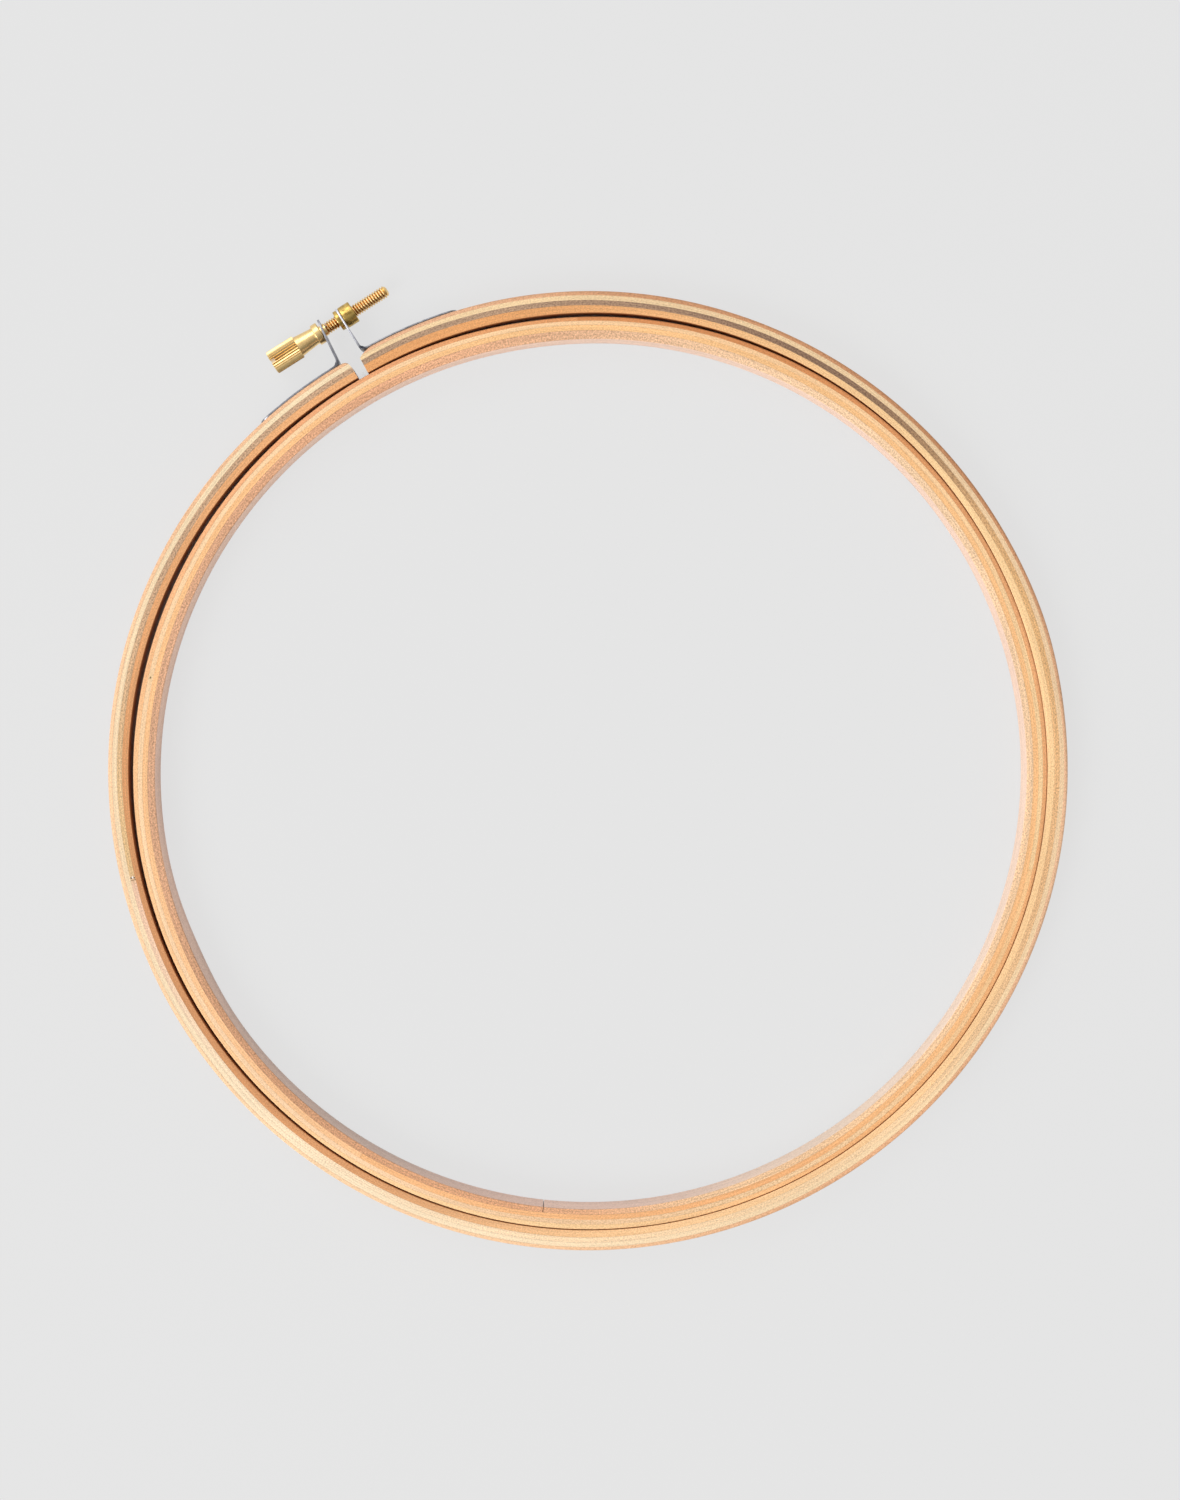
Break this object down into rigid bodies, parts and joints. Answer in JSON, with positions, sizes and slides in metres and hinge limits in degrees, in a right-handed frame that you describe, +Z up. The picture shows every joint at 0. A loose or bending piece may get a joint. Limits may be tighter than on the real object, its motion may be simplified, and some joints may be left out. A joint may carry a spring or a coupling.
{
  "type": "embroidery hoop",
  "caption": "Round wooden embroidery hoop: a laminated inner ring inside a split outer ring that a knurled brass screw draws together.",
  "frame": {"origin": "middle of the hoop's box, brackets and screw included, on the face that it lies on", "axes": "+Z up through both rings, +Y from the rings' centre to the split and its screw, +X along the screw from its knob towards its tip"},
  "size_m": [0.26, 0.2733, 0.01],
  "materials": {
    "beech_brown": "sanded, unvarnished edge grain",
    "beech_cream": "sanded, unvarnished edge grain",
    "beech_grey": "sanded, unvarnished edge grain",
    "beech_orange": "sanded, unvarnished edge grain",
    "beech_rust": "sanded, unvarnished edge grain",
    "beech_pale": "sanded, unvarnished edge grain",
    "beech_amber": "sanded, unvarnished edge grain",
    "beech_lilac": "sanded, unvarnished face grain",
    "zinc_strip": "dull zinc plate",
    "steel_nail": "dull zinc plate",
    "screw_brass": "bright turned brass",
    "nut_brass": "darker turned brass"
  },
  "bodies": {
    "outer_ring_nut_side": {"outer_ring_nut_ply_1": "beech_brown", "outer_ring_nut_ply_2": "beech_cream", "outer_ring_nut_ply_3": "beech_grey", "outer_ring_nut_ply_4": "beech_orange", "nut_bracket": "zinc_strip", "nut_nail_1": "steel_nail", "nut_nail_2": "steel_nail", "clamp_nut": "nut_brass"},
    "outer_ring_free_side": {"outer_ring_free_ply_1": "beech_brown", "outer_ring_free_ply_2": "beech_cream", "outer_ring_free_ply_3_front": "beech_grey", "outer_ring_free_ply_3_back": "beech_grey", "outer_ring_free_ply_4": "beech_orange", "free_bracket": "zinc_strip", "free_nail_1": "steel_nail", "free_nail_2": "steel_nail"},
    "clamp_screw": {"clamp_screw": "screw_brass"},
    "inner_ring": {"inner_ring_ply_1": "beech_rust", "inner_ring_ply_2": "beech_pale", "inner_ring_ply_3": "beech_amber", "inner_ring_ply_4": "beech_lilac"}
  },
  "joints": [
    {"name": "ring_flex", "type": "hinge", "parent": "outer_ring_nut_side", "child": "outer_ring_free_side", "pos_m": [0, -0.13418, 0.005], "axis": [0, 0, -1], "range_deg": [-0.8271, 0.069]},
    {"name": "clamp_screw_turn", "type": "hinge", "parent": "outer_ring_free_side", "child": "clamp_screw", "pos_m": [0, 0.13287, 0.005], "axis": [0.9988, 0.0488, 0], "range_deg": [-1800, 150]},
    {"name": "inner_ring_lift", "type": "slide", "parent": "outer_ring_nut_side", "child": "inner_ring", "axis": [0, 0, 1], "range_m": [0, 0.03]}
  ],
  "couplings": [
    {"joint": "ring_flex", "follows": "clamp_screw_turn", "ratio": 0.00045945}
  ]
}
